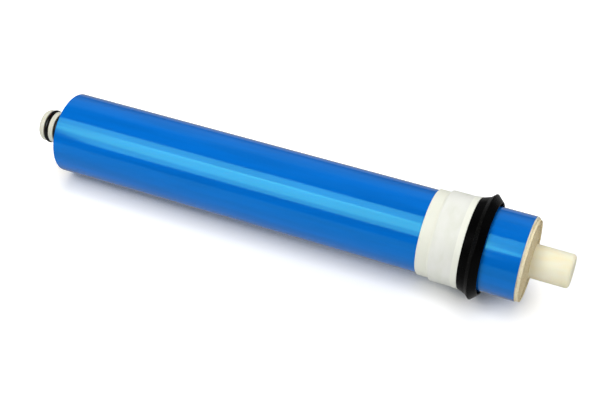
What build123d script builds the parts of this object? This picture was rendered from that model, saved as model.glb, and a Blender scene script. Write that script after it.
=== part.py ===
from build123d import *
import math
import os

# A spiral-wound reverse-osmosis membrane element, the small size that goes in a home water filter.
# It is a product-water tube with a leaf of membrane, net and cloth rolled round it, held in a film.
# The tube's axis is X. X is 0 at the open nose of the tube and rises towards the feed end. +Z is up.
# All sizes are in millimetres.

# Overall lengths along the tube
OVERALL = 298.0          # nose of the tube to its closed feed end
SPIGOT = 18.0            # tube outside the roll at the outlet end
STUB = 23.0              # tube outside the film at the feed end

# Clearance between pieces that touch, and the reach of cuts
SHEET_GAP = 0.02         # between neighbouring sheets, films and the parts that lie on them
CUT_PAST = 1.0           # how far a cut reaches past what it cuts

# Product-water tube
TUBE_R = 8.65            # outside radius, 0.68 inch over the diameter
BORE_R = 5.8             # inside radius along the roll
OUTLET_R = 5.0           # inside radius at the outlet, where the ring grooves need a thicker wall
OUTLET_LENGTH = 16.0     # length of that narrower bore
END_WALL = 6.0           # closed wall at the feed end
NOSE_LEAD = 1.2          # length of the lead-in chamfer at the nose
NOSE_DROP = 0.75         # how much the chamfer takes off the radius
STUB_ROUND = 1.8         # radius on the edge of the closed end
DIMPLE_R = 1.5           # moulding dimple in the middle of the closed end
DIMPLE_DEPTH = 0.5
HOLE_R = 1.0             # holes that let the product water into the tube
HOLE_PITCH = 36.0        # from one pair of holes to the next
HOLE_MARGIN = 30.0       # from each end of the roll to the first pair

# O-rings on the spigot
RING_WIRE_R = 1.2        # radius of the rubber wire
RING_PROUD = 0.55        # how far a ring stands out of the tube
RING_CENTRES = (4.6, 10.2)   # distance of each ring from the nose
GROOVE_SLACK = 0.25      # room in the groove on each side of the wire

# Sheets of the leaf, thickness of each
CARRIER = 0.30           # permeate carrier cloth
MEMBRANE = 0.16          # membrane with its backing
SPACER = 0.79            # feed spacer net
TACK_TAPE = 0.10         # tape that tacks the carrier to the tube
FOLD_TAPE = 0.09         # tape that guards the membrane's fold
HALF_TURNS = 17          # an odd number, so that the roll ends under a round film
SPACER_SET_BACK = 0.3    # the net's cut ends lie this far inside the membrane's
GLUE_SET_BACK = 0.1      # the glue line's ends do too
TACK_TAPE_ARC = 70.0     # degrees of the tube that the tack tape covers
FOLD_TAPE_WIDTH = 6.0    # along each side of the fold, on the feed side
SPACER_START = 0.3       # the net begins this far past the fold tape
LEAF_STAND_OUT = 2.0     # at the feed end the sheets' rim stands out of the film this far
CROWN = 1.6              # winding pushed the sheets out this much further by the tube

# Glue line that closes the leaf on three sides
GLUE_BAND = 20.0         # width of the glue along both ends of the roll
GLUE_TAIL = 18.0         # width of the glue along the leaf's outer edge

# Film round the roll
FILM = 0.30              # two turns of blue film
FILM_LAP = 0.15          # step along the film's outer edge, on the side away from -Y

# Brine seal, a rubber ring with a lip that opens towards the feed
SEAL_RIM_SET_BACK = 18.3     # from the roll's feed end to the lip's rim
SEAL_LENGTH = 25.7           # from the skirt's edge to the lip's rim
SKIRT = 1.15                 # thickness of the skirt that the tape holds
SKIRT_EDGE = 0.5             # thickness at the skirt's bevelled edge
SKIRT_BEVEL = 1.3            # length of that bevel
TAPE_LAND_RISE = 0.25        # the land under the tape's edge rises this much
TAPE_LAND_RISE_LENGTH = 3.2  # over this length
SHOULDER = 0.45              # step up from the tape's land to the open flare
FLARE_LENGTH = 4.3           # gentle flare from the shoulder to the lip's outer face
FLARE_RISE = 1.5
LIP_FACE_LENGTH = 2.1        # steep outer face up to the crest
LIP_R = 27.15                # radius of the free lip at its crest
LIP_BACK = 3.8               # from the start of the crest to the lip's rim
CREST_LAND = 1.4             # small land on the crest
RIM_R = 25.3                 # outer radius of the lip's rim
RIM_WALL = 0.55              # thickness of the rim
CUP_DEPTH = 6.0              # how deep the cup behind the lip is
CUP_FLOOR_R = 1.0            # radius at the floor of the cup
CREST_ROUND = 0.5            # rounding of the crest's two edges

# White tape that holds the seal's skirt
TAPE = 0.55              # several turns, one on another
TAPE_LEAD = 6.7          # from the tape's edge on the film to the skirt's edge
TAPE_RAMP = 0.5          # the tape leaves the film this far before the skirt
TAPE_TURN = 0.14         # thickness of the last turn
TAPE_STAGGER = 0.4       # the last turn starts this far in from the tape's edge

# Places and sizes that follow from the values above
ROLL_START = SPIGOT
ROLL_END = OVERALL - STUB
ROLL_LENGTH = ROLL_END - ROLL_START
PITCH = CARRIER + 2 * MEMBRANE + SPACER
FIRST_R = TUBE_R + TACK_TAPE + SHEET_GAP
ROLL_R = FIRST_R + (HALF_TURNS + 1) * PITCH / 2
FILM_R = ROLL_R + SHEET_GAP
BODY_R = FILM_R + FILM
CROWN_BALL_R = (ROLL_R ** 2 + CROWN ** 2) / (2 * CROWN)
CROWN_TOP_X = ROLL_END + LEAF_STAND_OUT + CROWN
RING_R = TUBE_R + RING_PROUD - RING_WIRE_R
SEAL_BORE_R = BODY_R + SHEET_GAP
SKIRT_R = SEAL_BORE_R + SKIRT
RIM_X = ROLL_END - SEAL_RIM_SET_BACK
SKIRT_X = RIM_X - SEAL_LENGTH
CREST_X = RIM_X - LIP_BACK
FLARE_END_X = CREST_X - LIP_FACE_LENGTH
SHOULDER_X = FLARE_END_X - FLARE_LENGTH

# Where each sheet lies in one turn of the roll, as distances out from the turn's inner face
CARRIER_AT = 0.0
INNER_MEMBRANE_AT = CARRIER
SPACER_AT = CARRIER + MEMBRANE
OUTER_MEMBRANE_AT = CARRIER + MEMBRANE + SPACER


def half_turn(index):
    """Centre and inner radius of one half turn: even ones lie below, odd ones above."""
    shift = -PITCH / 2 if index % 2 else 0.0
    return shift, FIRST_R + index * PITCH / 2


def spiral_point(index, offset, share):
    """A point on a half turn's face, offset outwards, at a share of the half turn from 0 to 1."""
    shift, radius = half_turn(index)
    start = 0.0 if index % 2 else math.pi
    angle = start + share * math.pi
    reach = radius + offset
    return (shift + reach * math.cos(angle), reach * math.sin(angle))


def spiral_arcs(offset, first, last_share):
    """Arcs of the spiral face from half turn `first` to a share of the last half turn."""
    arcs = []
    for index in range(first, HALF_TURNS):
        share = last_share if index == HALF_TURNS - 1 else 1.0
        if share <= 0:
            continue
        arcs.append(ThreePointArc(spiral_point(index, offset, 0),
                                  spiral_point(index, offset, share / 2),
                                  spiral_point(index, offset, share)))
    return arcs


def spiral_face(inner, outer, last_share=1.0, start=0.0, first=0):
    """Face of one sheet's section between two offsets. It may begin part of the way round."""
    inside = spiral_arcs(inner, first, last_share)
    outside = spiral_arcs(outer, first, last_share)
    if start > 0:
        inside[0] = ThreePointArc(spiral_point(first, inner, start),
                                  spiral_point(first, inner, (1 + start) / 2),
                                  spiral_point(first, inner, 1))
        outside[0] = ThreePointArc(spiral_point(first, outer, start),
                                   spiral_point(first, outer, (1 + start) / 2),
                                   spiral_point(first, outer, 1))
    begin = Line(inside[0] @ 0, outside[0] @ 0)
    end = Line(inside[-1] @ 1, outside[-1] @ 1)
    return make_face(Wire(inside + outside + [begin, end]))


def half_plane(side, reach=BODY_R):
    """Section above the middle for a side of 1, or below it for -1, out to twice the reach."""
    return Pos(0, side * reach) * Rectangle(4 * reach, 2 * reach)


def along_tube(face, start, end):
    """Stretch a section drawn in Y and Z from one place on the tube's axis to another."""
    placed = Plane((start, 0, 0), x_dir=(0, 1, 0), z_dir=(1, 0, 0)) * face
    return extrude(placed, end - start, dir=(1, 0, 0))


def crowned(sheet, set_back=0.0):
    """Trim a sheet's feed end to the roll's slightly domed face, or to a place inside it."""
    top = CROWN_TOP_X - set_back
    ball = Pos(top - CROWN_BALL_R, 0, 0) * Rot(0, 0, 180) * Sphere(CROWN_BALL_R)
    beyond = along_tube(Circle(BODY_R), top - 2 * CROWN, CROWN_TOP_X + CROWN) - ball
    return sheet - beyond


def turned(points):
    """Turn an outline of (x, radius) points round the tube's axis."""
    outline = make_face(Polyline(*[(x, 0, r) for x, r in points], close=True))
    return revolve(outline, Axis.X)


def ring_between(inner, outer, start, end):
    """A plain tube from one radius to another."""
    return turned([(start, inner), (end, inner), (end, outer), (start, outer)])


def core_tube():
    """Product-water tube: open nose with two grooves, rows of holes, and a closed feed end."""
    body = turned([(0, 0), (0, TUBE_R - NOSE_DROP), (NOSE_LEAD, TUBE_R),
                   (OVERALL, TUBE_R), (OVERALL, 0)])
    end_edge = body.edges().filter_by(GeomType.CIRCLE).sort_by(Axis.X)[-1]
    body = fillet(end_edge, STUB_ROUND)
    body -= turned([(OVERALL - DIMPLE_DEPTH, 0), (OVERALL, DIMPLE_R), (OVERALL, 0)])
    wide_x = OUTLET_LENGTH + BORE_R - OUTLET_R
    body -= turned([(0, 0), (0, OUTLET_R), (OUTLET_LENGTH, OUTLET_R), (wide_x, BORE_R),
                    (OVERALL - END_WALL, BORE_R), (OVERALL - END_WALL, 0)])
    groove_half = RING_WIRE_R + GROOVE_SLACK
    groove_r = RING_R - RING_WIRE_R - SHEET_GAP
    for centre in RING_CENTRES:
        body -= ring_between(groove_r, TUBE_R + CUT_PAST, centre - groove_half, centre + groove_half)
    return body - tube_holes()


def tube_holes():
    """Pairs of holes across the tube, each pair turned a quarter from the one before."""
    room = ROLL_LENGTH - 2 * HOLE_MARGIN
    count = int(room / HOLE_PITCH) + 1
    first = (ROLL_START + ROLL_END) / 2 - (count - 1) * HOLE_PITCH / 2
    holes = []
    for index in range(count):
        axis = (0, 1, 0) if index % 2 else (0, 0, 1)
        place = Plane((first + index * HOLE_PITCH, 0, 0), z_dir=axis)
        holes.append(place * Cylinder(HOLE_R, 2 * (TUBE_R + CUT_PAST)))
    return holes


def o_ring(centre):
    """Rubber ring of round wire, at a distance from the nose."""
    section = Plane((centre, 0, RING_R), x_dir=(1, 0, 0), z_dir=(0, -1, 0)) * Circle(RING_WIRE_R)
    return revolve(section, Axis.X)


def o_ring_outer():
    """The ring nearer the nose."""
    return o_ring(RING_CENTRES[0])


def o_ring_inner():
    """The ring nearer the roll."""
    return o_ring(RING_CENTRES[1])


def carrier_tape():
    """Strip of tape on the tube, under the first edge of the carrier."""
    half = math.radians(TACK_TAPE_ARC) / 2
    middle = -math.pi / 2
    arcs = []
    for radius in (TUBE_R + SHEET_GAP / 2, TUBE_R + TACK_TAPE):
        points = [(radius * math.cos(middle + turn), radius * math.sin(middle + turn))
                  for turn in (-half, 0, half)]
        arcs.append(ThreePointArc(*points))
    sides = [Line(arcs[0] @ 0, arcs[1] @ 0), Line(arcs[0] @ 1, arcs[1] @ 1)]
    return along_tube(make_face(Wire(arcs + sides)), ROLL_START + GLUE_BAND, ROLL_END - GLUE_BAND)


def tail_share():
    """Share of the last half turn that comes before the glue along the leaf's outer edge."""
    last_r = half_turn(HALF_TURNS - 1)[1]
    return 1 - GLUE_TAIL / (math.pi * last_r)


def permeate_carrier():
    """Cloth inside the leaf that leads the product water to the tube, between the glue lines."""
    face = spiral_face(SHEET_GAP / 2, CARRIER - SHEET_GAP / 2, tail_share())
    return along_tube(face, ROLL_START + GLUE_BAND + SHEET_GAP, ROLL_END - GLUE_BAND - SHEET_GAP)


def glue_line():
    """Glue round three sides of the leaf: a band at each end, joined along the outer edge."""
    low, high = SHEET_GAP / 2, CARRIER - SHEET_GAP / 2
    band = spiral_face(low, high) + core_fill()
    glue = along_tube(band, ROLL_START + GLUE_SET_BACK, ROLL_START + GLUE_BAND)
    glue += crowned(along_tube(band, ROLL_END - GLUE_BAND, CROWN_TOP_X), GLUE_SET_BACK)
    last = HALF_TURNS - 1
    begin = tail_share() + SHEET_GAP / (math.pi * half_turn(last)[1])
    tail = spiral_face(low, high, start=begin, first=last)
    return glue + along_tube(tail, ROLL_START + GLUE_BAND, ROLL_END - GLUE_BAND)


def core_fill():
    """Section of the glue between the tube and the first turn that rises off it."""
    shift, radius = half_turn(1)
    rising = Pos(shift, 0) * Circle(radius + SHEET_GAP / 2)
    fill = (rising - Circle(TUBE_R + SHEET_GAP)) & half_plane(1)
    return fill - fold_room()


def fold_centre():
    """Centre of the membrane's fold, in the middle of the net's thickness where the leaf begins."""
    return spiral_point(0, SPACER_AT + SPACER / 2, 0)


def fold_room():
    """Section kept clear round the fold at the start of the leaf."""
    return Pos(*fold_centre()) * Circle(SPACER / 2 + MEMBRANE + SHEET_GAP)


def membrane_leaf():
    """One sheet folded over the net, so that its two halves lie either side of it."""
    inner = spiral_face(INNER_MEMBRANE_AT + SHEET_GAP / 2, SPACER_AT - SHEET_GAP / 2)
    outer = spiral_face(OUTER_MEMBRANE_AT + SHEET_GAP / 2, PITCH - SHEET_GAP / 2)
    fold_r = SPACER / 2 + SHEET_GAP / 2
    fold = Circle(SPACER / 2 + MEMBRANE - SHEET_GAP / 2) - Circle(fold_r)
    folded = inner + outer + Pos(*fold_centre()) * (fold & half_plane(1, PITCH))
    return crowned(along_tube(folded, ROLL_START, CROWN_TOP_X))


def fold_tape():
    """Tape that guards the fold, laid inside it and a short way along both halves."""
    reach = FOLD_TAPE_WIDTH / (math.pi * FIRST_R)
    strips = []
    for low in (SPACER_AT + SHEET_GAP / 2, OUTER_MEMBRANE_AT - FOLD_TAPE):
        high = low + FOLD_TAPE - SHEET_GAP / 2
        arcs = [ThreePointArc(*[spiral_point(0, offset, share) for share in (0, reach / 2, reach)])
                for offset in (low, high)]
        sides = [Line(arcs[0] @ 0, arcs[1] @ 0), Line(arcs[0] @ 1, arcs[1] @ 1)]
        strips.append(make_face(Wire(arcs + sides)))
    bend = Circle(SPACER / 2 - SHEET_GAP / 2) - Circle(SPACER / 2 - FOLD_TAPE)
    face = strips[0] + strips[1] + Pos(*fold_centre()) * (bend & half_plane(1, PITCH))
    return along_tube(face, ROLL_START + GLUE_BAND, ROLL_END - GLUE_BAND)


def feed_spacer():
    """Net that leads the feed water along the roll. Its end runs on under the film."""
    start = (FOLD_TAPE_WIDTH + SPACER_START) / (math.pi * FIRST_R)
    band = spiral_face(SPACER_AT + SHEET_GAP / 2, OUTER_MEMBRANE_AT - SHEET_GAP / 2, start=start)
    shift, radius = half_turn(HALF_TURNS)
    under_film = Circle(ROLL_R) - Pos(shift, 0) * Circle(radius + SHEET_GAP / 2)
    tail = under_film & half_plane(1)
    return crowned(along_tube(band + tail, ROLL_START + SPACER_SET_BACK, CROWN_TOP_X), SPACER_SET_BACK)


def outer_wrap():
    """Film wound round the whole roll. Its outer edge leaves a step along the +Y side."""
    above = Pos(-FILM_LAP / 2, 0) * Circle(BODY_R - FILM_LAP / 2) & half_plane(1)
    below = Circle(BODY_R) & half_plane(-1)
    return along_tube(above + below - Circle(FILM_R), ROLL_START, ROLL_END)


def seal_land(x):
    """Radius of the seal's outside under the tape, at a place along the tube."""
    rise_start = SHOULDER_X - TAPE_LAND_RISE_LENGTH
    share = min(max((x - rise_start) / TAPE_LAND_RISE_LENGTH, 0), 1)
    return SKIRT_R + share * TAPE_LAND_RISE


def brine_seal():
    """Rubber ring: thin skirt, flare, crest and a lip that opens towards the feed."""
    shoulder_r = seal_land(SHOULDER_X) + SHOULDER
    flare_r = shoulder_r + FLARE_RISE
    cup_x = RIM_X - CUP_DEPTH
    body = turned([
        (SKIRT_X, SEAL_BORE_R), (SKIRT_X, SEAL_BORE_R + SKIRT_EDGE),
        (SKIRT_X + SKIRT_BEVEL, SKIRT_R), (SHOULDER_X - TAPE_LAND_RISE_LENGTH, SKIRT_R),
        (SHOULDER_X, seal_land(SHOULDER_X)), (SHOULDER_X, shoulder_r),
        (FLARE_END_X, flare_r), (CREST_X, LIP_R), (CREST_X + CREST_LAND, LIP_R),
        (RIM_X, RIM_R), (RIM_X, RIM_R - RIM_WALL), (cup_x + CUP_FLOOR_R, SEAL_BORE_R + CUP_FLOOR_R),
        (cup_x, SEAL_BORE_R)])
    circles = body.edges().filter_by(GeomType.CIRCLE)
    crest = [edge for edge in circles if abs(edge.radius - LIP_R) < SHEET_GAP]
    return fillet(crest, CREST_ROUND)


def seal_tape():
    """White tape over the skirt. It climbs from the film to the skirt and ends at the shoulder."""
    tape_x = SKIRT_X - TAPE_LEAD
    end_x = SHOULDER_X - SHEET_GAP
    rise_x = SHOULDER_X - TAPE_LAND_RISE_LENGTH
    inner = [(tape_x, SEAL_BORE_R), (SKIRT_X - TAPE_RAMP, SEAL_BORE_R),
             (SKIRT_X - SHEET_GAP, SEAL_BORE_R + SKIRT_EDGE + SHEET_GAP),
             (SKIRT_X + SKIRT_BEVEL, SKIRT_R + SHEET_GAP), (rise_x, SKIRT_R + SHEET_GAP),
             (end_x, seal_land(end_x) + SHEET_GAP)]
    outer = [(x, r + TAPE) for x, r in inner[1:]]
    edge = [(tape_x + TAPE_STAGGER, SEAL_BORE_R + TAPE),
            (tape_x + TAPE_STAGGER, SEAL_BORE_R + TAPE - TAPE_TURN),
            (tape_x, SEAL_BORE_R + TAPE - TAPE_TURN)]
    return turned(inner + outer[::-1] + edge)


PARTS = [core_tube, o_ring_outer, o_ring_inner, carrier_tape, permeate_carrier, glue_line,
         membrane_leaf, fold_tape, feed_spacer, outer_wrap, brine_seal, seal_tape]

os.makedirs("parts", exist_ok=True)
for make in PARTS:
    export_step(make(), f"parts/{make.__name__}.step")
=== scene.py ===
"""Looks of a small reverse osmosis membrane element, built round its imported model."""

import logging
import math
from dataclasses import dataclass, field
from enum import Enum
from typing import Any, Callable

import bpy
import numpy as np
from mathutils import Matrix, Vector


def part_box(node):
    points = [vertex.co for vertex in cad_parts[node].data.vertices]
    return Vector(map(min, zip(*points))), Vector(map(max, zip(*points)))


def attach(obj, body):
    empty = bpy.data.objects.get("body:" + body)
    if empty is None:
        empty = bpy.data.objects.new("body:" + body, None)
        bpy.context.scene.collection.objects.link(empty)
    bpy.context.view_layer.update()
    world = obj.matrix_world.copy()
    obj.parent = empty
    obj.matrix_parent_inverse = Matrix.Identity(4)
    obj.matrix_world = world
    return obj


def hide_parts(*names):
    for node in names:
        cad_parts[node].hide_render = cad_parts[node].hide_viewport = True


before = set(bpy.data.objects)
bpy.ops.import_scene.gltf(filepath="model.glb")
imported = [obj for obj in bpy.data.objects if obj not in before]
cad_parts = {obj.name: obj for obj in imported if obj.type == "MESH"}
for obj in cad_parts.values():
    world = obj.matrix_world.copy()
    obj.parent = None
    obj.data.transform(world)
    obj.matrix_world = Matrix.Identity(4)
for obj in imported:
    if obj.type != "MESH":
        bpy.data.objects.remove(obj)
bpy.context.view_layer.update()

BODY = "root"
MM = 0.001
TURN = 2 * math.pi
WHITE = (1.0, 1.0, 1.0, 1.0)
SHARP = 0.0  # rounding of a corner that isn't rounded
SHEET_GAP = 0.02  # between the film and what lies on it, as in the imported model
SKIRT = 1.15  # thickness of the seal's skirt
LAND_RISE = 0.25  # how much the skirt rises towards the shoulder
LAND_LENGTH = 3.2  # length of that rise
log = logging.getLogger("membrane_element")

Outline = np.ndarray
Triple = tuple[float, float, float]
Pair = tuple[float, float]
Node = bpy.types.Node
Socket = bpy.types.NodeSocket


class LampShape(Enum):
    """Outlines that a flat lamp can have, with Blender's names for them."""

    RECTANGLE = "RECTANGLE"
    ELLIPSE = "ELLIPSE"


class Wobble(Enum):
    """Curves by which things run out of true, each with its seed and its number of waves."""

    CREST = (5, 3)
    FLARE = (11, 4)
    LAST_TURN = (13, 4)
    CREASE = (7, 6)
    FOLD = (3, 9)


def linear(code: str) -> tuple[float, float, float, float]:
    """Turn an sRGB hex colour into a linear one.

    Args:
        code: Six hex digits after a number sign.

    Returns:
        Red, green, blue and an alpha of one.
    """
    shares = [int(code[place:place + 2], 16) / 255 for place in (1, 3, 5)]
    red, green, blue = [share / 12.92 if share <= 0.04045 else ((share + 0.055) / 1.055) ** 2.4
                        for share in shares]
    return red, green, blue, 1.0


def within(value: float) -> float:
    """Keep a value between 0 and 1."""
    return min(max(value, 0.0), 1.0)


def set_inputs(node: Node, inputs: dict[Any, Any]) -> None:
    """Give a node its values and links.

    Args:
        node: The node.
        inputs: Value or linked output for each input, by name or number.
    """
    for name, value in inputs.items():
        if isinstance(value, Socket):
            node.id_data.links.new(value, node.inputs[name])
        else:
            node.inputs[name].default_value = value


def add_node(tree: bpy.types.NodeTree, kind: str, inputs: dict[Any, Any] | None = None,
             **settings: Any) -> Node:
    """Add a node to a tree, with its settings, values and links.

    Args:
        tree: The node tree that gets the node.
        kind: Blender's name for the kind of node.
        inputs: Value or linked output for each input, by name or number.
        settings: Attributes of the node.

    Returns:
        The new node.
    """
    node = tree.nodes.new(kind)
    for name, value in settings.items():
        setattr(node, name, value)
    set_inputs(node, inputs or {})
    return node


def grain(place: Socket, size: Triple, detail: float = 2.0, roughness: float = 0.5) -> Socket:
    """Noise whose blotches have a real size.

    Args:
        place: Place on the object in millimetres.
        size: Width of a blotch along each axis, in millimetres.
        detail: How many finer layers the noise has.
        roughness: How strong the finer layers are.

    Returns:
        A value from 0 to 1.
    """
    tree = place.id_data
    scaled = add_node(tree, "ShaderNodeVectorMath", {0: place, 1: [1 / width for width in size]},
                      operation="MULTIPLY")
    pattern = {"Vector": scaled.outputs[0], "Scale": 1.0, "Detail": detail, "Roughness": roughness}
    return add_node(tree, "ShaderNodeTexNoise", pattern).outputs[0]


def ramp(value: Socket, zone: Pair, start: float = 0.0, end: float = 1.0) -> Socket:
    """Stretch the part of a value between two limits, with soft ends.

    Args:
        value: The value to stretch.
        zone: Where the result begins to leave `start`, and where it reaches `end`.
        start: Result at and below the first limit.
        end: Result at and above the second limit.

    Returns:
        The stretched value.
    """
    limits = {"From Min": zone[0], "From Max": zone[1], "To Min": start, "To Max": end}
    node = add_node(value.id_data, "ShaderNodeMapRange", {"Value": value, **limits},
                    interpolation_type="SMOOTHSTEP")
    return node.outputs[0]


def blend_colours(share: Socket, first: Any, second: Any) -> Socket:
    """Mix two colours by a share.

    Args:
        share: 0 for the first colour, 1 for the second.
        first: Colour or linked colour.
        second: Colour or linked colour.

    Returns:
        The mixed colour.
    """
    node = add_node(share.id_data, "ShaderNodeMix", {0: share}, data_type="RGBA")
    colours = [number for number, socket in enumerate(node.inputs) if socket.type == "RGBA"]
    set_inputs(node, dict(zip(colours, (first, second))))
    return next(socket for socket in node.outputs if socket.type == "RGBA")


def relief(height: Socket, depth_mm: float, under: Socket | None = None) -> Socket:
    """Turn a height from 0 to 1 into a fine relief of a real depth.

    Args:
        height: The height.
        depth_mm: Depth of the relief in millimetres.
        under: Normal of a relief that this one lies on.

    Returns:
        The normal for the shader.
    """
    inputs: dict[Any, Any] = {"Height": height, "Distance": depth_mm * MM, "Strength": 1.0}
    if under is not None:
        inputs["Normal"] = under
    return add_node(height.id_data, "ShaderNodeBump", inputs).outputs[0]


def soaked(share: float, spread: Triple, depth_mm: float) -> dict[str, Any]:
    """Inputs that let light soak into a surface.

    Args:
        share: How much of the light soaks in.
        spread: How far red, green and blue go, as shares of the depth.
        depth_mm: The depth in millimetres.

    Returns:
        The shader's inputs by name.
    """
    return {"Subsurface Weight": share, "Subsurface Radius": spread, "Subsurface Scale": depth_mm * MM}


@dataclass(frozen=True)
class Finish:
    """A surface, named for what the real one is made of.

    The colour is sRGB hex. Roughness and refraction start from typical values for the stuff. Fields that
    end in `_mm` are widths of blotches or depths of reliefs, and a zone is the part of a noise that shows.
    Fibres and moulded skins are too fine to show at their real width, so they are drawn coarser.
    """

    name: str
    hue: str
    roughness: float
    ior: float = 1.5

    def material(self) -> bpy.types.Material:
        """Build the material, unless it was built before.

        Returns:
            The material.
        """
        known = bpy.data.materials.get(self.name)
        if known:
            return known
        made = bpy.data.materials.new(self.name)
        made.use_nodes = True
        tree = made.node_tree
        shader = tree.nodes["Principled BSDF"]
        set_inputs(shader, {"Base Color": linear(self.hue), "Roughness": self.roughness, "IOR": self.ior})
        spot = add_node(tree, "ShaderNodeTexCoord")
        place = add_node(tree, "ShaderNodeVectorMath", {0: spot.outputs["Object"], "Scale": 1 / MM},
                         operation="SCALE")
        self.dress(shader, place.outputs[0])
        return made

    def dress(self, shader: Node, place: Socket) -> None:
        """Add the detail of the surface. The plain finish has none.

        Args:
            shader: The material's main shader.
            place: Place on the object in millimetres.
        """


@dataclass(frozen=True)
class PrintingFilm(Finish):
    """Polypropylene film with an adhesive back: glossy, faintly drawn out along the roll."""

    shade: str = "#006CCE"
    sheen_hue: str = "#00FFEA"
    gloss: float = 1.0
    haze: float = 0.5
    haze_roughness: float = 0.12
    streak_mm: Triple = (60.0, 5.0, 5.0)
    streak_zone: Pair = (0.3, 0.7)
    wave_mm: Triple = (30.0, 3.0, 3.0)
    wave_depth_mm: float = 0.012
    peel_mm: Triple = (1.6, 0.9, 0.9)
    peel_depth_mm: float = 0.0014
    brushed_mm: Triple = (14.0, 0.35, 0.35)
    brushed_depth_mm: float = 0.006

    def dress(self, shader: Node, place: Socket) -> None:
        """Add drawn-out streaks, an even gloss with a soft haze, and the film's faint waves.

        Args:
            shader: The material's main shader.
            place: Place on the object in millimetres.
        """
        streaks = ramp(grain(place, self.streak_mm), self.streak_zone)
        waves = relief(grain(place, self.wave_mm, detail=1.0), self.wave_depth_mm)
        peel = relief(grain(place, self.peel_mm), self.peel_depth_mm, waves)
        brushed = relief(grain(place, self.brushed_mm, detail=3.0), self.brushed_depth_mm, waves)
        set_inputs(shader, {"Base Color": blend_colours(streaks, linear(self.hue), linear(self.shade)),
                            "Specular IOR Level": self.gloss, "Specular Tint": linear(self.sheen_hue),
                            "Coat Weight": self.haze, "Coat Roughness": self.haze_roughness,
                            "Normal": peel, "Coat Normal": brushed})


@dataclass(frozen=True)
class WhiteTape(Finish):
    """White vinyl tape, wound under pull: a satin face with stretch lines along the winding."""

    shade: str = "#EDEFE3"
    film_side: str = "#F6F7E8"
    last_turn_highlight_hue: str = "#FAFCEE"
    climb_mm: Pair = (230.8, 232.1)
    last_turn_mm: Pair = (243.1, 243.5)
    soak: float = 0.12
    soak_spread: Triple = (0.9, 0.8, 0.7)
    soak_mm: float = 0.6
    cloud_mm: Triple = (4.0, 9.0, 9.0)
    cloud_zone: Pair = (0.3, 0.8)
    crease_mm: Triple = (1.8, 6.0, 6.0)
    crease_depth_mm: float = 0.03
    line_mm: Triple = (0.6, 24.0, 24.0)
    line_depth_mm: float = 0.01

    def dress(self, shader: Node, place: Socket) -> None:
        """Add stretch lines round the tape, faint creases, a warmer white where it lies on the film, and a
        paler last turn that is a painted highlight along the tape's edge.

        Args:
            shader: The material's main shader.
            place: Place on the object in millimetres.
        """
        along = add_node(place.id_data, "ShaderNodeSeparateXYZ", {0: place}).outputs["X"]
        clouds = ramp(grain(place, self.cloud_mm, detail=3.0), self.cloud_zone)
        even = blend_colours(clouds, linear(self.hue), linear(self.shade))
        # painted highlight: the last turn is paler, standing for the bright line along the tape's edge
        on_last_turn = ramp(along, self.last_turn_mm)
        with_highlight = blend_colours(on_last_turn, even, linear(self.last_turn_highlight_hue))
        on_film = ramp(along, self.climb_mm, 1.0, 0.0)
        creases = relief(grain(place, self.crease_mm), self.crease_depth_mm)
        lines = relief(grain(place, self.line_mm, detail=3.0), self.line_depth_mm, creases)
        set_inputs(shader, {"Base Color": blend_colours(on_film, with_highlight, linear(self.film_side)),
                            "Normal": lines, **soaked(self.soak, self.soak_spread, self.soak_mm)})


@dataclass(frozen=True)
class MouldedRubber(Finish):
    """Black rubber, moulded and dusted with talc: a dull satin skin with pale specks."""

    dust: str = "#4A4944"
    dust_share: float = 0.2
    skin_mm: float = 0.5
    gloss: float = 0.06
    unevenness: float = 0.15
    cloud_mm: Triple = (6.0, 6.0, 6.0)
    cloud_zone: Pair = (0.3, 0.7)
    speck_mm: Triple = (0.45, 0.45, 0.45)
    speck_roughness: float = 0.7
    speck_zone: Pair = (0.68, 0.82)
    skin_depth_mm: float = 0.012

    def dress(self, shader: Node, place: Socket) -> None:
        """Add a fine skin, uneven gloss and dust.

        Args:
            shader: The material's main shader.
            place: Place on the object in millimetres.
        """
        clouds = grain(place, self.cloud_mm, detail=4.0)
        satin = ramp(clouds, self.cloud_zone, self.roughness * (1 - self.unevenness),
                     self.roughness * (1 + self.unevenness))
        specks = grain(place, self.speck_mm, detail=3.0, roughness=self.speck_roughness)
        dusty = ramp(specks, self.speck_zone, 0.0, self.dust_share)
        skin = relief(grain(place, (self.skin_mm,) * 3, detail=3.0), self.skin_depth_mm)
        set_inputs(shader, {"Base Color": blend_colours(dusty, linear(self.hue), linear(self.dust)),
                            "Specular IOR Level": self.gloss, "Roughness": satin, "Normal": skin})


@dataclass(frozen=True)
class MouldedPlastic(Finish):
    """Undyed plastic: creamy, slightly see-through, with a soft half gloss."""

    shade: str = "#FFF4CF"
    depth_mm: float = 1.2
    nose_shade_hue: str = ""
    nose_shade_mm: Pair = (20.0, 250.0)
    soak: float = 0.25
    soak_spread: Triple = (1.0, 0.8, 0.5)
    flow_mm: Triple = (14.0, 5.0, 5.0)
    flow_zone: Pair = (0.35, 0.75)
    texture_mm: Triple = (0.35, 0.35, 0.35)
    texture_depth_mm: float = 0.006
    sink_mm: Triple = (5.0, 4.0, 4.0)
    sink_depth_mm: float = 0.05

    def dress(self, shader: Node, place: Socket) -> None:
        """Add depth to the colour, flow marks, painted shade that greys and darkens the nose where one is
        given, and the mould's fine texture.

        Args:
            shader: The material's main shader.
            place: Place on the object in millimetres.
        """
        flow = ramp(grain(place, self.flow_mm, detail=3.0), self.flow_zone)
        colour = blend_colours(flow, linear(self.hue), linear(self.shade))
        # painted shade: the tube turns greyer and darker towards its nose, which gets less light
        if self.nose_shade_hue:
            along = add_node(place.id_data, "ShaderNodeSeparateXYZ", {0: place}).outputs["X"]
            colour = blend_colours(ramp(along, self.nose_shade_mm), linear(self.nose_shade_hue), colour)
        texture = relief(grain(place, self.texture_mm), self.texture_depth_mm)
        sink = relief(grain(place, self.sink_mm, detail=1.0), self.sink_depth_mm, texture)
        set_inputs(shader, {"Base Color": colour, "Normal": sink,
                            **soaked(self.soak, self.soak_spread, self.depth_mm)})


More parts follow.
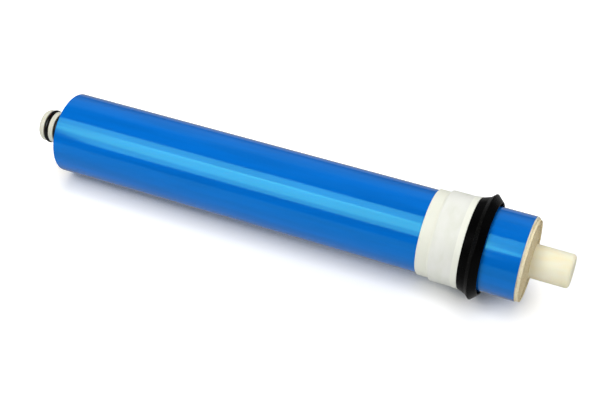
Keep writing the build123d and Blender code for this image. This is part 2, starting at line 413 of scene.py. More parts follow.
@dataclass(frozen=True)
class CutSheet(Finish):
    """A sheet seen mostly at its cut edge: fibrous, with darker and paler spots."""

    shade: str = "#C9B88C"
    spot_mm: float = 0.5
    spot_roughness: float = 0.65
    spot_zone: Pair = (0.35, 0.7)
    soak: float = 0.2
    soak_spread: Triple = (0.6, 0.5, 0.4)
    soak_mm: float = 1.0
    fibre_depth_mm: float = 0.08

    def dress(self, shader: Node, place: Socket) -> None:
        """Add the spots and the fibres of the cut.

        Args:
            shader: The material's main shader.
            place: Place on the object in millimetres.
        """
        spots = grain(place, (self.spot_mm,) * 3, detail=3.0, roughness=self.spot_roughness)
        shown = ramp(spots, self.spot_zone)
        set_inputs(shader, {"Base Color": blend_colours(shown, linear(self.hue), linear(self.shade)),
                            "Normal": relief(spots, self.fibre_depth_mm),
                            **soaked(self.soak, self.soak_spread, self.soak_mm)})


# Film: a glossy, even blue, and a pale matt line where it is cut
FILM_BLUE = PrintingFilm("polypropylene_film_blue", "#0073DB", roughness=0.1, ior=1.52)
FILM_CUT = CutSheet("polypropylene_film_cut_edge", "#F6EFD8", roughness=0.55, shade="#E6DAB8", spot_mm=0.6)
# Tape: clean white with a half gloss
TAPE_WHITE = WhiteTape("vinyl_tape_white", "#F5F6EE", roughness=0.45)
# Rubber: deep black, dull on the seal and wet with grease on the rings
SEAL_RUBBER = MouldedRubber("nitrile_rubber_moulded", "#050505", roughness=0.26, ior=1.52)
RING_RUBBER = MouldedRubber("nitrile_rubber_greased", "#060606", roughness=0.2, ior=1.52, dust="#1C1C1B",
                            dust_share=0.3, skin_mm=0.3, gloss=0.4)
# Tube: cream, with painted shade that makes it greyer and darker at its nose
TUBE_CREAM = MouldedPlastic("abs_moulded_natural", "#FFFAE0", roughness=0.36, ior=1.53, nose_shade_hue="#E2E1D0")
# Wound sheets: cream felt, straw-coloured glue, chalky cloth, and a net and tapes that look milky
MEMBRANE_EDGE = CutSheet("polyester_felt_membrane", "#FAEFCF", roughness=0.6, shade="#E2CFA0", spot_mm=0.6)
GLUE_STRAW = CutSheet("polyurethane_glue_cured", "#EEDCA8", roughness=0.42, shade="#C9AE70", spot_mm=0.7)
CLOTH = CutSheet("polyester_tricot_stiffened", "#F2EDDF", roughness=0.8, shade="#DAD2BC", spot_mm=0.3)
NET = MouldedPlastic("polypropylene_net", "#EFE7CE", roughness=0.38, ior=1.49, shade="#D6C9A2", depth_mm=0.8)
CLEAR_TAPE = MouldedPlastic("polyester_tape_clear", "#EDE5C8", roughness=0.2, ior=1.57, shade="#E0D5B0",
                            depth_mm=0.4)
KEPT_NODES = {"o_ring_outer": RING_RUBBER, "o_ring_inner": RING_RUBBER, "carrier_tape": CLEAR_TAPE,
              "fold_tape": CLEAR_TAPE, "permeate_carrier": CLOTH, "glue_line": GLUE_STRAW,
              "membrane_leaf": MEMBRANE_EDGE}


def dress_node(name: str, finish: Finish) -> None:
    """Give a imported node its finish.

    Args:
        name: The node's name.
        finish: What it is made of.
    """
    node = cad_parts[name]
    node.data.materials.clear()
    node.data.materials.append(finish.material())
    for face in node.data.polygons:
        face.material_index = 0
    log.info("%s: %s", name, finish.name)


def soften(corners: list[Triple], steps: int) -> Outline:
    """Round the corners of a closed outline.

    Args:
        corners: Place along the tube, radius, and how far the corner is rounded.
        steps: How many straight pieces each rounding has.

    Returns:
        The points of the rounded outline.
    """
    points = [np.array(corner[:2], float) for corner in corners]
    made: list[np.ndarray] = []
    for index, (point, (_, _, rounding)) in enumerate(zip(points, corners)):
        if rounding == SHARP:
            made.append(point)
            continue
        before, after = points[index - 1] - point, points[(index + 1) % len(points)] - point
        before, after = before / np.linalg.norm(before), after / np.linalg.norm(after)
        half = math.acos(float(np.clip(before @ after, -1, 1))) / 2
        reach = rounding / math.tan(half)
        middle = point + (before + after) / np.linalg.norm(before + after) * rounding / math.sin(half)
        first, last = point + before * reach - middle, point + after * reach - middle
        sweep = math.atan2(first[0] * last[1] - first[1] * last[0], float(first @ last))
        for step in range(steps + 1):
            turn = sweep * step / steps
            spin = np.array([[math.cos(turn), -math.sin(turn)], [math.sin(turn), math.cos(turn)]])
            made.append(middle + spin @ first)
    return brace(np.array(made))


def brace(points: Outline, reach: float = 0.15) -> Outline:
    """Add points near both ends of each long side, so that its shading stays flat between them.

    Args:
        points: The closed outline.
        reach: Distance of the new points from the corners, in millimetres.

    Returns:
        The outline with the new points.
    """
    made: list[np.ndarray] = []
    shortest = 3 * reach
    for index, point in enumerate(points):
        along = points[(index + 1) % len(points)] - point
        length = float(np.linalg.norm(along))
        made.append(point)
        if length > shortest:
            made += [point + along * reach / length, point + along * (1 - reach / length)]
    return np.array(made)


def round_piece(name: str, outline_at: Callable[[float], Outline], steps: int,
                sharp_deg: float) -> bpy.types.Object:
    """Turn a closed outline round the tube's axis. The outline may change on its way round.

    Args:
        name: Name of the new piece.
        outline_at: Gives the outline, in millimetres, at an angle from +Y towards +Z.
        steps: How many outlines there are in the full turn.
        sharp_deg: Edges that turn more than this stay sharp.

    Returns:
        The new object, which rides on the body.
    """
    angles = np.arange(steps) * TURN / steps
    rings = np.array([outline_at(angle) for angle in angles])
    count = rings.shape[1]
    along, radius = rings[:, :, 0], rings[:, :, 1]
    places = np.stack([along, radius * np.cos(angles)[:, None], radius * np.sin(angles)[:, None]], axis=2)
    ring, point = np.meshgrid(np.arange(steps), np.arange(count), indexing="ij")
    next_ring, next_point = (ring + 1) % steps, (point + 1) % count
    faces = np.stack([ring * count + point, ring * count + next_point,
                      next_ring * count + next_point, next_ring * count + point], axis=2)
    return piece_from(name, places.reshape(-1, 3) * MM, faces.reshape(-1, 4).tolist(), sharp_deg)


def piece_from(name: str, places: np.ndarray, faces: list[list[int]],
               sharp_deg: float) -> bpy.types.Object:
    """Make an object from points and faces, shade it smooth and let it ride on the body.

    Args:
        name: Name of the new piece.
        places: Points in metres.
        faces: Corner numbers of each face.
        sharp_deg: Edges that turn more than this stay sharp.

    Returns:
        The new object.
    """
    mesh = bpy.data.meshes.new(name)
    mesh.from_pydata(places.tolist(), [], faces)
    mesh.validate()
    mesh.polygons.foreach_set("use_smooth", np.ones(len(mesh.polygons), bool))
    mesh.update()
    mesh.set_sharp_from_angle(angle=math.radians(sharp_deg))
    piece = bpy.data.objects.new(name, mesh)
    bpy.context.scene.collection.objects.link(piece)
    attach(piece, BODY)
    log.info("%s: %d faces", name, len(mesh.polygons))
    return piece


def wobble(angle: float, curve: Wobble) -> float:
    """A smooth closed curve from about -1 to 1, for things that are never quite round.

    Args:
        angle: Angle round the tube.
        curve: Which curve.

    Returns:
        The curve's value at that angle.
    """
    seed, waves = curve.value
    picks = np.random.default_rng(seed)
    smallest, largest, usual_peak = 0.5, 1.0, 1.4
    phases, sizes = picks.uniform(0, TURN, waves), picks.uniform(smallest, largest, waves)
    total = sum(size * math.sin((wave + 1) * angle + phase) / (wave + 1)
                for wave, (phase, size) in enumerate(zip(phases, sizes)))
    return total / usual_peak


def node_span(name: str) -> Triple:
    """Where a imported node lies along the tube, and its outer radius.

    Args:
        name: The node's name.

    Returns:
        Start, end and radius in millimetres.
    """
    low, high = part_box(name)
    return low.x / MM, high.x / MM, (high.y - low.y) / 2 / MM


@dataclass
class Film:
    """Blue film round the roll, two turns thick, with its outer edge along the back."""

    thickness: float = 0.3
    lap: float = 0.15
    edge_round: float = 0.07
    round_steps: int = 3
    steps: int = 288
    sharp_deg: float = 40.0
    end_facing: float = 0.9
    start: float = field(init=False)
    end: float = field(init=False)
    radius: float = field(init=False)

    def build(self) -> None:
        """Make the film and its pale cut edges."""
        self.start, self.end, self.radius = node_span("outer_wrap")
        piece = round_piece("film", self.outline, self.steps, self.sharp_deg)
        piece.data.materials.append(FILM_BLUE.material())
        piece.data.materials.append(FILM_CUT.material())
        self.mark_cut_edges(piece)
        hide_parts("outer_wrap")

    def outline(self, angle: float) -> Outline:
        """Section of the film at an angle, with the step of the outer edge at the back.

        Args:
            angle: Angle round the tube.

        Returns:
            The closed outline.
        """
        upper = math.sin(angle) >= 0
        drop = self.lap * (1 + math.cos(angle)) / 2 if upper else 0.0
        outer, inner = self.radius - drop, self.radius - self.thickness
        return soften([(self.start, inner, SHARP), (self.start, outer, self.edge_round),
                       (self.end, outer, self.edge_round), (self.end, inner, SHARP)], self.round_steps)

    def mark_cut_edges(self, piece: bpy.types.Object) -> None:
        """Give the film's cut ends their own material.

        Args:
            piece: The film, whose second material is that of its cut ends.
        """
        for face in piece.data.polygons:
            if abs(face.normal.x) > self.end_facing:
                face.material_index = 1


@dataclass
class SealBand:
    """White tape over the seal's skirt: several turns that don't lie quite on each other."""

    turns: int = 4
    thickness: float = 0.55
    first_edge: float = 0.05
    turn_edge: float = 0.12
    turn_shift: float = 0.13
    skew: float = 0.35
    skew_phase: float = 0.4
    skew_turn: float = 0.5
    step_width: float = 0.09
    climb_back: float = 0.6
    climb_length: float = 1.5
    last_turn: float = 3.2
    last_rise: float = 0.1
    last_sway: float = 0.2
    fold_on: float = 0.3
    fold_width: float = 0.9
    fold_height: float = 0.06
    crease_back: float = 0.9
    crease_sway: float = 0.25
    crease_depth: float = 0.12
    crease_width: float = 0.28
    edge_drop: float = 0.12
    fine_length: float = 1.6
    fine_points: int = 34
    even_from: float = 1.7
    even_step: float = 0.32
    even_margins: float = 2.6
    even_end: float = 0.35
    end_length: float = 0.3
    end_points: int = 5
    under_step: int = 6
    steps: int = 288
    sharp_deg: float = 55.0
    start: float = field(init=False)
    end: float = field(init=False)
    film_radius: float = field(init=False)
    skirt_x: float = field(init=False)

    def build(self) -> None:
        """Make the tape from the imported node's places."""
        self.start, self.end, _ = node_span("seal_tape")
        self.film_radius = node_span("outer_wrap")[2] + SHEET_GAP
        self.skirt_x = node_span("brine_seal")[0]
        piece = round_piece("seal_band", self.outline, self.steps, self.sharp_deg)
        piece.data.materials.append(TAPE_WHITE.material())
        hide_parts("seal_tape")

    def base(self, x: float) -> float:
        """Radius of what the tape lies on: the film, the climb onto the skirt, and the skirt's land.

        Args:
            x: Place along the tube.

        Returns:
            The radius.
        """
        film, skirt = self.film_radius, self.film_radius + SKIRT
        share = within((x - self.skirt_x + self.climb_back) / self.climb_length)
        climb = share * share * (3 - 2 * share)
        land = within((x - self.end + LAND_LENGTH) / LAND_LENGTH) * LAND_RISE
        return film + (skirt - film) * climb + land

    def skewed(self, angle: float) -> float:
        """How far a turn's edge runs off to the side at an angle."""
        return self.skew * (1 + math.sin(angle)) / 2

    def outer(self, x: float, angle: float) -> float:
        """Radius of the tape's outer face.

        Args:
            x: Place along the tube.
            angle: Angle round the tube.

        Returns:
            The radius.
        """
        height = self.base(x)
        for turn in range(self.turns):
            edge = self.start + self.turn_edge + turn * self.turn_shift
            edge += self.skewed(angle + self.skew_phase + turn * self.skew_turn)
            height += self.thickness / self.turns * within((x - edge) / self.step_width)
        last_edge = self.end - self.last_turn - self.last_sway * wobble(angle, Wobble.LAST_TURN)
        height += self.last_rise * within((x - last_edge) / (2 * self.step_width))
        fold = math.exp(-((x - self.skirt_x - self.fold_on) / self.fold_width) ** 2)
        crease_x = self.skirt_x - self.crease_back + self.crease_sway * wobble(angle, Wobble.CREASE)
        crease = self.crease_depth * math.exp(-((x - crease_x) / self.crease_width) ** 2)
        return height + self.fold_height * fold * wobble(angle, Wobble.FOLD) - crease

    def outline(self, angle: float) -> Outline:
        """Section of the tape at an angle.

        Args:
            angle: Angle round the tube.

        Returns:
            The closed outline, with close points at the turns' edges.
        """
        left = self.start + self.first_edge + self.skewed(angle + self.skew_phase)
        stops = np.concatenate([np.linspace(left, left + self.fine_length, self.fine_points),
                                np.arange(left + self.even_from, self.end - self.even_end, self.even_step),
                                np.linspace(self.end - self.end_length, self.end, self.end_points)])
        even_points = int((self.end - self.start - self.even_margins) / self.even_step)
        count = self.fine_points + even_points + self.end_points
        stops = np.interp(np.linspace(0, 1, count), np.linspace(0, 1, len(stops)), stops)
        top = [(x, self.outer(x, angle)) for x in stops]
        top[0] = (top[0][0], self.base(top[0][0]))
        top[-1] = (top[-1][0], top[-1][1] - self.edge_drop)
        low = [(x, self.base(x)) for x in stops[::-self.under_step]]
        return np.array(top + low)


@dataclass
class LipSeal:
    """Rubber brine seal: skirt, shoulder, flare, crest and a lip that opens to the feed."""

    skirt_edge: float = 0.5
    skirt_bevel: float = 1.3
    skirt_round: float = 0.4
    shoulder: float = 0.45
    shoulder_round: float = 0.25
    flare_length: float = 4.3
    flare_rise: float = 1.5
    flare_round: float = 0.6
    flare_sway: float = 0.12
    face_length: float = 2.1
    lip_back: float = 3.8
    crest_land: float = 0.4
    crest_round: float = 0.22
    crest_sway: float = 0.05
    lip_round: float = 0.28
    rim_radius: float = 23.95
    rim_wall: float = 0.55
    rim_round: float = 0.16
    cup_depth: float = 6.0
    cup_slope: float = 1.0
    cup_round: float = 0.8
    bore_round: float = 0.3
    round_steps: int = 6
    steps: int = 320
    sharp_deg: float = 50.0
    start: float = field(init=False)
    rim: float = field(init=False)
    lip: float = field(init=False)
    bore: float = field(init=False)

    def build(self) -> None:
        """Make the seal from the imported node's places."""
        self.start, self.rim, self.lip = node_span("brine_seal")
        self.bore = node_span("outer_wrap")[2] + SHEET_GAP
        piece = round_piece("lip_seal", self.outline, self.steps, self.sharp_deg)
        piece.data.materials.append(SEAL_RUBBER.material())
        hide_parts("brine_seal")

    def outline(self, angle: float) -> Outline:
        """Section of the seal at an angle.

        Args:
            angle: Angle round the tube.

        Returns:
            The closed outline, from the bore over the skirt, the crest and the rim into the cup.
        """
        crest = self.rim - self.lip_back
        crest_r = self.lip - self.crest_sway + self.crest_sway * wobble(angle, Wobble.CREST)
        flare_end = crest - self.face_length
        shoulder_x = flare_end - self.flare_length
        skirt_r = self.bore + SKIRT
        shoulder_r = skirt_r + LAND_RISE + self.shoulder
        cup = self.rim - self.cup_depth
        soft = self.flare_sway * wobble(angle, Wobble.FLARE)
        return soften([(self.start, self.bore, SHARP), (self.start, self.bore + self.skirt_edge, SHARP),
                       (self.start + self.skirt_bevel, skirt_r, self.skirt_round),
                       (shoulder_x - LAND_LENGTH, skirt_r, SHARP), (shoulder_x, skirt_r + LAND_RISE, SHARP),
                       (shoulder_x, shoulder_r, self.shoulder_round),
                       (flare_end + soft, shoulder_r + self.flare_rise, self.flare_round),
                       (crest, crest_r, self.crest_round),
                       (crest + self.crest_land, crest_r, self.lip_round),
                       (self.rim, self.rim_radius, self.rim_round),
                       (self.rim, self.rim_radius - self.rim_wall, self.rim_round),
                       (cup + self.cup_slope, self.bore + self.cup_slope, self.cup_round),
                       (cup, self.bore, self.bore_round)], self.round_steps)


@dataclass
class ProductTube:
    """Product-water tube: nose with two ring grooves, and a closed stub at the feed end."""

    radius: float = 8.65
    bore: float = 5.8
    outlet: float = 5.0
    outlet_length: float = 16.0
    end_wall: float = 6.0
    nose_lead: float = 1.2
    nose_drop: float = 0.75
    nose_round: float = 0.2
    lead_round: float = 0.4
    stub_round: float = 1.8
    dimple: float = 1.5
    dimple_depth: float = 0.5
    groove_depth: float = 1.87
    groove_width: float = 2.9
    groove_round: float = 0.12
    axis_gap: float = 0.02
    round_steps: int = 4
    steps: int = 192
    sharp_deg: float = 35.0
    end: float = field(init=False)
    rings: list[float] = field(init=False)

    def build(self) -> None:
        """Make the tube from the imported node's places."""
        self.end = node_span("core_tube")[1]
        self.rings = [sum(node_span(name)[:2]) / 2 for name in ("o_ring_outer", "o_ring_inner")]
        piece = round_piece("product_tube", self.outline, self.steps, self.sharp_deg)
        piece.data.materials.append(TUBE_CREAM.material())
        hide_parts("core_tube")

    def outline(self, angle: float) -> Outline:
        """Section of the tube, from the bore's closed end out to the nose and back over the outside.

        Args:
            angle: Angle round the tube. The section is the same at each.

        Returns:
            The closed outline.
        """
        corners = [(self.end - self.end_wall, self.axis_gap, SHARP),
                   (self.end - self.end_wall, self.bore, SHARP),
                   (self.outlet_length + self.bore - self.outlet, self.bore, SHARP),
                   (self.outlet_length, self.outlet, SHARP),
                   (0.0, self.outlet, self.nose_round),
                   (0.0, self.radius - self.nose_drop, self.nose_round),
                   (self.nose_lead, self.radius, self.lead_round)]
        for ring in self.rings:
            for edge, depth in ((-1, 0.0), (-1, self.groove_depth), (1, self.groove_depth), (1, 0.0)):
                corners.append((ring + edge * self.groove_width / 2, self.radius - depth, self.groove_round))
        corners += [(self.end, self.radius, self.stub_round), (self.end, self.dimple, SHARP),
                    (self.end - self.dimple_depth, self.axis_gap, SHARP)]
        return soften(corners, self.round_steps)


@dataclass
class FeedNet:
    """Net between the membranes: a plain band inside, and its real strands at both ends."""

    pitch: float = 1.41
    first_radius: float = 8.77
    half_turns: int = 17
    inner_offset: float = 0.47
    thickness: float = 0.75
    strand: float = 0.38
    spacing: float = 2.6
    depth: float = 5.0
    crown: float = 1.6
    first_along: float = 7.0
    last_back: float = 1.0
    band_step: float = 2.5
    band_back: float = 0.7
    tail_share: float = 0.4
    tail_steps: int = 48
    sides: int = 6
    stations: int = 5
    sharp_deg: float = 40.0
    start: float = field(init=False)
    end: float = field(init=False)
    rim: float = field(init=False)
    ball: float = field(init=False)
    places: list[Triple] = field(default_factory=list)
    faces: list[list[int]] = field(default_factory=list)

    def build(self) -> None:
        """Make the strands at both ends, and the band between them."""
        self.start, self.end, _ = node_span("feed_spacer")
        self.rim = node_span("membrane_leaf")[2]
        self.ball = (self.rim ** 2 + self.crown ** 2) / (2 * self.crown)
        self.strands()
        self.band()
        net = piece_from("feed_net", np.array(self.places) * MM, self.faces, self.sharp_deg)
        net.data.materials.append(NET.material())
        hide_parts("feed_spacer")

    def drop(self, y: float, z: float) -> float:
        """How far the domed feed end lies behind its top, at a place on the section."""
        return self.ball - math.sqrt(self.ball ** 2 - y ** 2 - z ** 2)

    def middle(self, along: float, offset: float) -> Triple:
        """Place on the wound net at a length along its sheet.

        Args:
            along: Length along the sheet from its start, in millimetres.
            offset: Distance out from the net's inner face.

        Returns:
            Y and Z in millimetres, and the angle round the turn.
        """
        index, left = 0, along
        while index < self.half_turns and left > math.pi * self.turn_radius(index):
            left -= math.pi * self.turn_radius(index)
            index += 1
        shift = -self.pitch / 2 if index % 2 else 0.0
        angle = (0.0 if index % 2 else math.pi) + left / self.turn_radius(index)
        reach = self.turn_radius(index) + offset
        return shift + reach * math.cos(angle), reach * math.sin(angle), angle

    def turn_radius(self, index: int) -> float:
        """Radius of the net's inner face in a half turn. The last one, under the film, has no sheet below."""
        below = self.inner_offset if index < self.half_turns else 0.0
        return self.first_radius + index * self.pitch / 2 + below

    def sheet_length(self) -> float:
        """Length of the wound net, up to where its tail under the film grows thin."""
        full = sum(math.pi * self.turn_radius(index) for index in range(self.half_turns))
        return full + self.tail_share * math.pi * self.turn_radius(self.half_turns)

    def strands(self) -> None:
        """Two layers of slanted strands along both cut ends."""
        half = self.strand / 2
        count = int((self.sheet_length() - self.first_along - self.last_back) / self.spacing)
        for at_feed in (False, True):
            for offset, slant in ((self.thickness / 2 - half, 1.0), (self.thickness / 2 + half, -1.0)):
                for number in range(count):
                    self.one_strand(self.first_along + number * self.spacing, offset, slant, at_feed)

    def one_strand(self, along: float, offset: float, slant: float, at_feed: bool) -> None:
        """Add a strand that runs slanting in from a cut end.

        Args:
            along: Where it starts, along the sheet in millimetres.
            offset: Distance of its middle out from the net's inner face.
            slant: How far it moves along the sheet for each millimetre inwards.
            at_feed: Whether it starts at the feed end.
        """
        base, sides = len(self.places), self.sides
        for station in range(self.stations):
            run = self.depth * station / (self.stations - 1)
            y, z, angle = self.middle(along + slant * run, offset)
            x = self.end - run - self.drop(y, z) if at_feed else self.start + run
            for side in range(sides):
                turn = TURN * side / sides
                out, up = math.cos(turn) * self.strand / 2, math.sin(turn) * self.strand / 2
                self.places.append((x, y + out * math.cos(angle) - up * math.sin(angle),
                                    z + out * math.sin(angle) + up * math.cos(angle)))
        for station in range(self.stations - 1):
            first = base + station * sides
            self.faces += [[first + side, first + (side + 1) % sides, first + sides + (side + 1) % sides,
                            first + sides + side] for side in range(sides)]
        last = base + (self.stations - 1) * sides
        self.faces += [list(range(base, base + sides)), list(range(last, last + sides))]

    def band(self) -> None:
        """Add the plain band that stands for the net behind its cut ends, and its tail under the film."""
        stops = np.arange(self.first_along, self.sheet_length() - self.last_back, self.band_step)
        self.sheet([(self.middle(float(along), 0.0)[:2], self.middle(float(along), self.thickness)[:2])
                    for along in stops])
        inner = self.turn_radius(self.half_turns)
        angles = np.linspace(0, math.pi, self.tail_steps)
        self.sheet([((inner * math.cos(angle) - self.pitch / 2, inner * math.sin(angle)),
                     (self.rim * math.cos(angle), self.rim * math.sin(angle))) for angle in angles])

    def sheet(self, stops: list[tuple[Pair, Pair]]) -> None:
        """Add a wound sheet that reaches almost from end to end.

        Args:
            stops: Its inner and outer place on the section, from one end of its winding to the other.
        """
        base, around = len(self.places), 4
        for inner, outer in stops:
            for y, z in (inner, outer):
                self.places += [(self.start + self.band_back, y, z),
                                (self.end - self.band_back - self.drop(y, z), y, z)]
        for index in range(len(stops) - 1):
            low = base + around * index
            self.faces += [[low + first, low + second, low + around + second, low + around + first]
                           for first, second in ((0, 1), (1, 3), (3, 2), (2, 0))]
        last = len(self.places) - around
        self.faces += [[base, base + 2, base + 3, base + 1], [last, last + 1, last + 3, last + 2]]


@dataclass(frozen=True)
class Lamp:
    """A flat lamp. Places and sizes are in millimetres, and a radiance of 1 is as bright as white."""

    name: str
    centre: Triple
    facing: Triple
    size: Pair
    radiance: float
    shape: LampShape = LampShape.RECTANGLE
    spin_deg: float = 0.0
    mirrored: bool = True

    def build(self) -> None:
        """Make the lamp, turned so that it shines its way and its width lies level before its spin."""
        lamp = bpy.data.lights.new(self.name, "AREA")
        lamp.shape = self.shape.value
        lamp.size, lamp.size_y = self.size[0] * MM, self.size[1] * MM
        filled = math.pi / 4 if self.shape is LampShape.ELLIPSE else 1.0
        lamp.energy = self.radiance * math.pi * lamp.size * lamp.size_y * filled
        holder = bpy.data.objects.new(self.name, lamp)
        bpy.context.scene.collection.objects.link(holder)
        holder.visible_glossy = self.mirrored
        out = -Vector(self.facing).normalized()
        across = Vector((0, 0, 1)).cross(out).normalized()
        spin = math.radians(self.spin_deg)
        side = across * math.cos(spin) + out.cross(across) * math.sin(spin)
        turn = Matrix((side, out.cross(side), out)).transposed()
        holder.matrix_world = Matrix.Translation(Vector(self.centre) * MM) @ turn.to_4x4()


@dataclass
class Studio:
    """Floor, lamps, surroundings and camera."""

    camera_mm: Triple = (338.09, -424.19, 403.45)
    camera_right: Triple = (0.919914, 0.392120, 0.0)
    camera_ahead: Triple = (-0.293577, 0.688733, -0.662918)
    lens_mm: float = 69.31
    sensor_mm: float = 36.0
    clip_m: Pair = (0.01, 50.0)
    seal_touch_mm: Pair = (253.0, -27.15)
    roll_touch_mm: Pair = (18.0, -21.78)
    floor_reach_mm: float = 4000.0
    floor_hue: str = "#E6E6E6"
    # painted contact shadow: the floor's colour near the object, spread by ambient occlusion
    contact_shadow_hue: str = "#55758F"
    contact_shadow_zone: Pair = (0.0, 0.25)
    contact_mm: float = 12.0
    contact_samples: int = 12
    contact_power: float = 1.25
    near_lift: float = 0.52
    lift_middle_m: Triple = (0.15, 0.0, 0.0)
    lift_zone_m: Pair = (0.16, 0.5)
    mirror_level: float = 0.3
    backdrop: float = 0.2
    room: float = 0.03
    ceiling_zone: Pair = (0.66, 0.84)
    horizon_zone: Pair = (0.05, 0.4)
    horizon_level: float = 0.25
    behind_zone: Pair = (0.0, 0.4)
    fill: float = 0.25
    fill_top: float = 1.2
    fill_zone: Pair = (-0.2, 0.9)
    lamp_lean_deg: float = 41.0
    middle_glows: tuple[Pair, ...] = ((640.0, 1.2), (480.0, 1.7), (340.0, 2.2))
    middle_height: float = 0.55

    def build(self) -> None:
        """Set the stage and the view."""
        self.floor()
        self.surroundings()
        self.lamps()
        self.camera()
        bpy.context.scene.view_settings.view_transform = "Standard"

    def floor(self) -> None:
        """Pale floor that touches the seal's crest and the roll's outlet end."""
        (near_x, near_z), (far_x, far_z) = self.seal_touch_mm, self.roll_touch_mm
        slope = (near_z - far_z) / (near_x - far_x)
        reach = self.floor_reach_mm
        corners = [(x, y, near_z + slope * (x - near_x)) for x, y in
                   ((-reach, -reach), (reach, -reach), (reach, reach), (-reach, reach))]
        mesh = bpy.data.meshes.new("floor")
        mesh.from_pydata([[value * MM for value in corner] for corner in corners], [], [[0, 1, 2, 3]])
        floor = bpy.data.objects.new("floor", mesh)
        bpy.context.scene.collection.objects.link(floor)
        mesh.materials.append(self.paper())

    def paper(self) -> bpy.types.Material:
        """White background paper. What the camera sees of it is lifted to white, shadows stay. Near the
        object its colour turns dark blue and its lift drops by ambient occlusion: painted contact shadow.

        Returns:
            The floor's material.
        """
        made = bpy.data.materials.new("background_paper")
        made.use_nodes = True
        tree = made.node_tree
        tree.nodes.clear()
        rays = add_node(tree, "ShaderNodeLightPath")
        spot = add_node(tree, "ShaderNodeTexCoord")
        away = add_node(tree, "ShaderNodeVectorMath", {0: spot.outputs["Object"], 1: self.lift_middle_m},
                        operation="DISTANCE")
        lift = ramp(away.outputs["Value"], self.lift_zone_m, self.near_lift, 1.0)
        open_share = add_node(tree, "ShaderNodeAmbientOcclusion", {"Distance": self.contact_mm * MM},
                              samples=self.contact_samples)
        clear = add_node(tree, "ShaderNodeMath", {0: open_share.outputs["AO"], 1: self.contact_power},
                         operation="POWER")
        # painted contact shadow: a dark blue colour, and less lift for the camera, where ambient occlusion
        # finds the object near
        under = blend_colours(ramp(clear.outputs[0], self.contact_shadow_zone),
                              linear(self.contact_shadow_hue), linear(self.floor_hue))
        sheet = add_node(tree, "ShaderNodeBsdfDiffuse", {"Color": under})
        seen = add_node(tree, "ShaderNodeMath", {0: clear.outputs[0], 1: lift}, operation="MULTIPLY")
        shown = add_node(tree, "ShaderNodeMath", {0: rays.outputs["Is Camera Ray"], 1: seen.outputs[0]},
                         operation="MULTIPLY")
        glow = add_node(tree, "ShaderNodeEmission", {"Color": WHITE, "Strength": shown.outputs[0]})
        both = add_node(tree, "ShaderNodeAddShader", {0: sheet.outputs[0], 1: glow.outputs[0]})
        bounced = {0: rays.outputs["Is Glossy Ray"], 1: rays.outputs["Is Transmission Ray"]}
        mirrored = add_node(tree, "ShaderNodeMath", bounced, operation="MAXIMUM")
        white = add_node(tree, "ShaderNodeEmission", {"Color": WHITE, "Strength": self.mirror_level})
        faces = {0: mirrored.outputs[0], 1: both.outputs[0], 2: white.outputs[0]}
        paper = add_node(tree, "ShaderNodeMixShader", faces)
        add_node(tree, "ShaderNodeOutputMaterial", {"Surface": paper.outputs[0]})
        return made

    def surroundings(self) -> None:
        """Backdrop behind the object up to half height, a darker room in front, white for the camera."""
        world = bpy.data.worlds.new("studio")
        bpy.context.scene.world = world
        world.use_nodes = True
        tree = world.node_tree
        tree.nodes.clear()
        spot = add_node(tree, "ShaderNodeTexCoord")
        parts = add_node(tree, "ShaderNodeSeparateXYZ", {0: spot.outputs["Generated"]})
        ceiling = ramp(parts.outputs["Z"], self.ceiling_zone, 1.0, 0.0)
        horizon = ramp(parts.outputs["Z"], self.horizon_zone, self.horizon_level, 1.0)
        behind = ramp(parts.outputs["Y"], self.behind_zone)
        wall = add_node(tree, "ShaderNodeMath", {0: ceiling, 1: behind}, operation="MULTIPLY")
        shaded = add_node(tree, "ShaderNodeMath", {0: wall.outputs[0], 1: horizon}, operation="MULTIPLY")
        room = ramp(shaded.outputs[0], (0.0, 1.0), self.room, self.backdrop)
        soft = ramp(parts.outputs["Z"], self.fill_zone, self.fill, self.fill * self.fill_top)
        rays = add_node(tree, "ShaderNodeLightPath")
        lit = add_node(tree, "ShaderNodeMix", {0: rays.outputs["Is Diffuse Ray"], 2: room, 3: soft},
                       data_type="FLOAT")
        seen = {0: rays.outputs["Is Camera Ray"], 2: lit.outputs[0], 3: 1.0}
        strength = add_node(tree, "ShaderNodeMix", seen, data_type="FLOAT")
        backdrop = add_node(tree, "ShaderNodeBackground", {"Color": WHITE, "Strength": strength.outputs[0]})
        add_node(tree, "ShaderNodeOutputWorld", {"Surface": backdrop.outputs[0]})

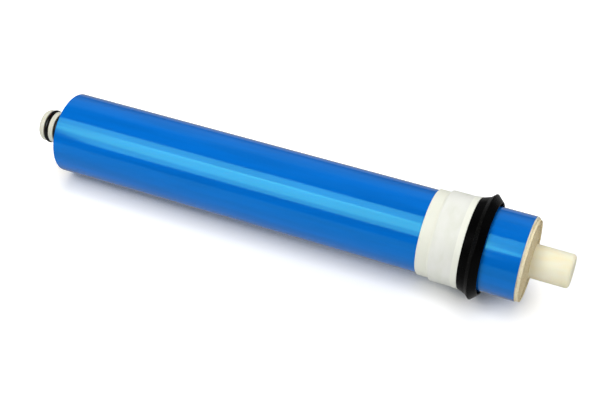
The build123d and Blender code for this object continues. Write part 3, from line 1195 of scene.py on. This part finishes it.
    def lamps(self) -> None:
        """A softbox above on the left, brighter in its middle, and two lamps that nothing mirrors."""
        lean = math.radians(self.lamp_lean_deg)
        down = (0.0, math.sin(lean), -math.cos(lean))
        middles = [Lamp(f"softbox_middle_{number}", centre=(-120.0, -545.0, 565.0), facing=down,
                        size=(width, self.middle_height * width), radiance=radiance, shape=LampShape.ELLIPSE)
                   for number, (width, radiance) in enumerate(self.middle_glows)]
        lamps = [Lamp("softbox", centre=(-176.0, -523.0, 606.0), facing=down, size=(552.0, 811.0),
                      radiance=1.8, spin_deg=4.0),
                 Lamp("softbox_side", centre=(150.0, -368.0, 741.0), facing=down, size=(100.0, 580.0),
                      radiance=1.4),
                 *middles,
                 Lamp("softbox_tube", centre=(-150.0, -435.0, 672.0), facing=down, size=(600.0, 55.0),
                      radiance=1.2),
                 Lamp("fill", centre=(950.0, -100.0, 350.0), facing=(-700.0, 100.0, -350.0),
                      size=(700.0, 700.0), radiance=1.3, mirrored=False),
                 Lamp("overhead", centre=(50.0, 480.0, 1000.0), facing=(100.0, -480.0, -1000.0),
                      size=(900.0, 900.0), radiance=2.2, mirrored=False)]
        for lamp in lamps:
            lamp.build()

    def camera(self) -> None:
        """The view of the photograph."""
        lens = bpy.data.cameras.new("camera")
        lens.sensor_width, lens.lens = self.sensor_mm, self.lens_mm
        lens.clip_start, lens.clip_end = self.clip_m
        camera = bpy.data.objects.new("camera", lens)
        bpy.context.scene.collection.objects.link(camera)
        right, ahead = Vector(self.camera_right), Vector(self.camera_ahead)
        turn = Matrix((right, right.cross(ahead), -ahead)).transposed()
        camera.matrix_world = Matrix.Translation(Vector(self.camera_mm) * MM) @ turn.to_4x4()
        bpy.context.scene.camera = camera


def main() -> None:
    """Build the pieces in order, then the studio."""
    logging.basicConfig(level=logging.INFO, format="%(name)s: %(message)s")
    for part in (Film(), SealBand(), LipSeal(), ProductTube(), FeedNet()):
        part.build()
    for name, finish in KEPT_NODES.items():
        dress_node(name, finish)
    Studio().build()


if __name__ == "__main__":
    main()
